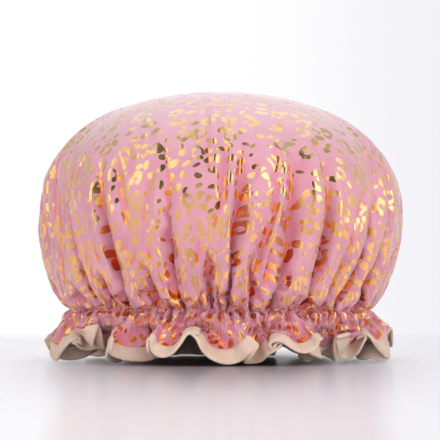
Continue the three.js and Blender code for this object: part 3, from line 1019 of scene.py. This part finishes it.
elasticLook = dict(
    light=(0.82, 0.80, 0.76, 1), dark=(0.74, 0.71, 0.67, 1), rib=(0.6, 0.58, 0.55, 1),
    ribShare=0.3, ribsPerMetre=1000, rough=(0.6, 0.75), threads=0.5, bump=0.00025,
)


def makeElastic():
    material, tree, shader = newMaterial(
        "knitted_elastic", Sheen_Weight=0.2, Sheen_Roughness=0.5, Specular_IOR_Level=0.3)
    place = wire(tree, "TexCoord", {}, "Object")
    ribs = ramp(calc("SINE", split(place)[2] * (2 * math.pi * elasticLook["ribsPerMetre"])), -1, 1)
    threads = useGroup(weave, "Height", Place=place, Threads=5200.0, Twill=0.0)
    tone = useGroup(mottle, "Tone", Place=place, Scale=90.0)
    base = mix(tone, elasticLook["light"], elasticLook["dark"])
    feed(shader, "Base Color", mix(ribs * elasticLook["ribShare"], base, elasticLook["rib"]))
    feed(shader, "Roughness", ramp(threads, 0, 1, elasticLook["rough"]))
    feed(shader, "Normal", bumped(ribs + threads * elasticLook["threads"], elasticLook["bump"]))
    return material


satinCap.data.materials.append(makeSatin())
filmLining.data.materials.append(makeLining())
hemTape.data.materials.append(makeTape())
pinkThread = makeThread("pink_sewing_thread", (0.56, 0.24, 0.33, 1), (0.42, 0.15, 0.22, 1))
beigeThread = makeThread("beige_sewing_thread", (0.70, 0.54, 0.43, 1), (0.55, 0.40, 0.30, 1))
for node, look in (("elastic_band", makeElastic()), ("elastic_splice_thread", beigeThread)):
    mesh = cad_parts[node].data
    mesh.materials.clear()
    mesh.materials.append(look)
for name, (piece, node) in stitchPieces.items():
    piece.data.materials.append(beigeThread if name.startswith("hem") else pinkThread)
print("materials made")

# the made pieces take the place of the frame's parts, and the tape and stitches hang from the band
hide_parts("satin_crown", "satin_wall", "satin_frill")
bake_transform(satinCap)
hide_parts("lining_crown", "lining_skirt")
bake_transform(filmLining)
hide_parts("hem_binding")
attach(hemTape, "band")
for name, (piece, node) in stitchPieces.items():
    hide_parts(node)
    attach(piece, "band")
trims = [hemTape] + [piece for piece, node in stitchPieces.values()]

# the stage: a pale floor that fades out, a white room and soft lamps
stage = dict(
    floor=(0.82, 0.815, 0.87, 1), shade=(0.31, 0.25, 0.29, 1), shadeUnder=(0.10, 0.075, 0.085, 1),
    under=(0.146, 0.105), beside=(0.10, 0.15), shadeSpan=(0.12, 0.51),
    shadeSide=3.1, shadeBack=1.25, shadeFront=-0.75,
    mirror=0.25, blur=0.14, clear=0.68, clearTint=(0.955, 0.95, 0.985, 1), fade=(0.72, 1.1),
    backdrop=(1, 1, 1, 1), backdropRight=(0.895, 0.887, 0.93, 1),
    room=0.46, sky=(1.0, 0.985, 0.975, 1), skyTop=(0.70, 0.69, 0.685, 1),
    darkSide=(0.10, -0.68, 0.726), dark=(0.10, 0.09, 0.085, 1),
)
bpy.ops.object.select_all(action="DESELECT")
bpy.ops.mesh.primitive_circle_add(vertices=128, radius=1.2, fill_type="NGON", location=(0, 0, -0.0003))
bpy.ops.object.transform_apply(location=True)
floor = bpy.context.object
floor.name = "pale_floor"


def makeFloor():
    material, tree, shader = newMaterial("pale_floor")
    place = wire(tree, "TexCoord", {}, "Object")
    away = steer("LENGTH", place)
    x, y = split(place)[:2]
    across = x * stage["shadeSide"]
    depth = larger(y * stage["shadeBack"], y * stage["shadeFront"])
    outside = soft(calc("SQRT", across * across + depth * depth), *stage["shadeSpan"])
    unseen = 1.0 - wire(tree, "LightPath", {}, "Is Camera Ray")
    outside = larger(outside, unseen * soft(away, *stage["beside"]))  # a white floor lights the cap
    # painted shadow: the floor darkens round the cap and goes nearly black under it
    shade = mix(soft(away, *stage["under"]), stage["shade"], stage["shadeUnder"])
    solid = wire(tree, "BsdfDiffuse", {"Color": mix(outside, shade, stage["floor"])})
    clear = wire(tree, "BsdfTransparent", {"Color": stage["clearTint"]})
    gloss = wire(tree, "BsdfAnisotropic", {"Color": (1, 1, 1, 1), "Roughness": stage["blur"]})
    matt = wire(tree, "MixShader", {0: outside * stage["clear"], 1: solid, 2: clear})
    polished = wire(tree, "MixShader", {0: stage["mirror"], 1: matt, 2: gloss})
    faded = wire(tree, "MixShader", {0: soft(away, *stage["fade"]), 1: polished, 2: clear})
    feed(tree.nodes["Material Output"], "Surface", faded)
    tree.nodes.remove(shader)
    return material


floor.data.materials.append(makeFloor())

room = bpy.data.worlds.new("white_room")
bpy.context.scene.world = room
room.use_nodes = True
roomLight = room.node_tree.nodes["Background"]
direction = wire(room.node_tree, "TexCoord", {}, "Generated")
right, ahead, up = split(direction)
greyer = soft(right, 0.0, 0.15) * soft(ahead, 0.6, 0.9)
backdrop = mix(greyer, stage["backdrop"], stage["backdropRight"])
skyGlow = mix(soft(up, 0.1, 0.9), stage["sky"], stage["skyTop"])
frontDark = soft(steer("DOT_PRODUCT", direction, stage["darkSide"]), 0.74, 0.94)
glow = mix(frontDark, skyGlow, stage["dark"])
rays = addNode(room.node_tree, "LightPath", {}).outputs
seen, mirrored, passed = (Wire(rays[f"Is {kind} Ray"]) for kind in ("Camera", "Glossy", "Transmission"))
feed(roomLight, "Color", mix(seen, glow, backdrop))
feed(roomLight, "Strength", mix(larger(seen, larger(mirrored, passed)), stage["room"], 1.0, "FLOAT"))

lamps = [  # name, place, size, power, and whether it mirrors in the foil
    ("key_softbox", (-0.75, -0.60, 0.80), 1.1, 3.8, True),
    ("right_softbox", (0.85, -0.45, 0.55), 1.0, 4.8, True),
    ("left_fill", (-0.60, -1.12, 0.14), 1.1, 8.7, False),
    ("right_fill", (0.60, -1.14, 0.14), 1.1, 9.1, False),
    ("back_fill", (0.0, 1.28, 0.30), 1.1, 7.0, False),
    ("top_softbox", (0.0, 0.35, 1.1), 1.0, 2.6, True),
]
for name, place, size, power, shines in lamps:
    turn = (Vector((0, 0, 0.1)) - Vector(place)).to_track_quat("-Z", "Y").to_euler()
    bpy.ops.object.light_add(type="AREA", location=place, rotation=turn)
    light = bpy.context.object
    light.name = name
    light.data.size = size
    light.data.energy = power
    light.visible_glossy = shines
    light.visible_camera = False
print("stage set")

bpy.context.view_layer.update()
